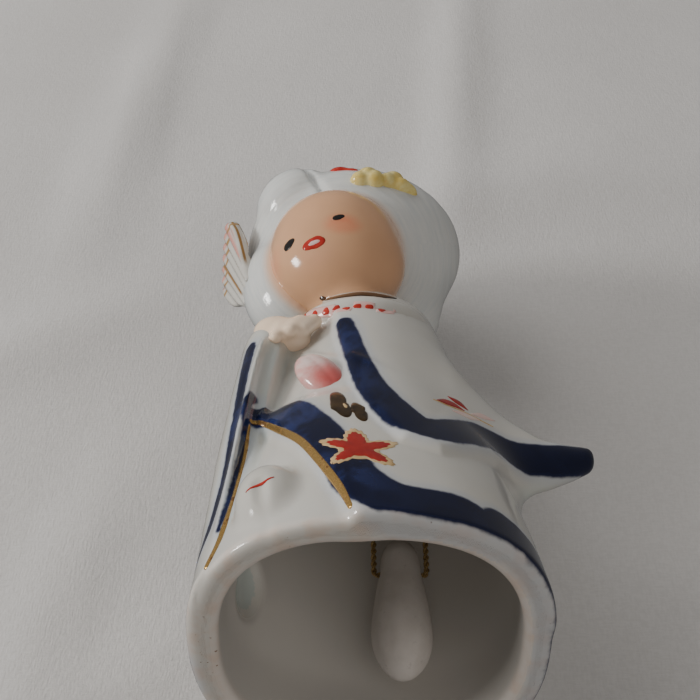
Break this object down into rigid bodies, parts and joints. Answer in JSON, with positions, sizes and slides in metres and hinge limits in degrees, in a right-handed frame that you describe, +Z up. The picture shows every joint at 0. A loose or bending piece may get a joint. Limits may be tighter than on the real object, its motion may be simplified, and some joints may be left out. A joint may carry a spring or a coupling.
{
  "type": "porcelain figurine bell",
  "caption": "Hollow porcelain hand bell shaped as a robed dancer doll with a bouffant of hair and a fan, with a porcelain clapper hung inside on a gold cord.",
  "frame": {"origin": "centre of the flat rim round the bell's mouth", "axes": "+Z up the bell's axis from the mouth to the hair, -Y the figure's front, +X the right of someone who faces it"},
  "size_m": [0.0611, 0.0483, 0.115],
  "materials": {
    "white_glaze": "glossy white porcelain glaze with underglaze blue and overglaze enamels",
    "flesh_glaze": "glossy peach glaze",
    "yellow_glaze": "soft yellow glaze",
    "red_enamel": "red overglaze enamel",
    "pink_enamel": "pink overglaze enamel over white",
    "cobalt_glaze": "underglaze cobalt blue",
    "gold_lustre": "fired gold lustre",
    "biscuit": "unglazed matte porcelain",
    "gold_cord": "twisted metallic gold thread"
  },
  "bodies": {
    "bell": {"robe_bell": "white_glaze", "left_sleeve": "white_glaze", "right_sleeve": "white_glaze", "front_panel": "white_glaze", "side_panel": "white_glaze", "tabi_foot": "white_glaze", "head": "flesh_glaze", "collar": "white_glaze", "hair": "white_glaze", "forelock": "white_glaze", "hair_ribbon": "red_enamel", "flower_petal_left": "yellow_glaze", "flower_petal_right": "yellow_glaze", "hand": "flesh_glaze", "sash_knot": "pink_enamel", "fan": "white_glaze", "hanger_bar": "biscuit"},
    "hitch": {"cord_hitch": "gold_cord"},
    "cord_loop": {"cord_top": "gold_cord", "strand_left": "gold_cord", "strand_right": "gold_cord", "cord_cross": "gold_cord", "cord_knot": "gold_cord"},
    "clapper": {"clapper": "biscuit"}
  },
  "joints": [
    {"name": "swing_fore_aft", "type": "hinge", "parent": "bell", "child": "hitch", "pos_m": [0.0048, 0, 0.066], "axis": [1, 0, 0], "range_deg": [-17.5, 0]},
    {"name": "swing_sideways", "type": "hinge", "parent": "hitch", "child": "cord_loop", "pos_m": [0.0048, 0.00063, 0.06302], "axis": [0, 0.9781, 0.2079], "range_deg": [-0.5, 9]},
    {"name": "clapper_nod", "type": "hinge", "parent": "cord_loop", "child": "clapper", "pos_m": [0.0048, 0.00925, 0.02247], "axis": [1, 0, 0], "range_deg": [-5, 5]}
  ]
}
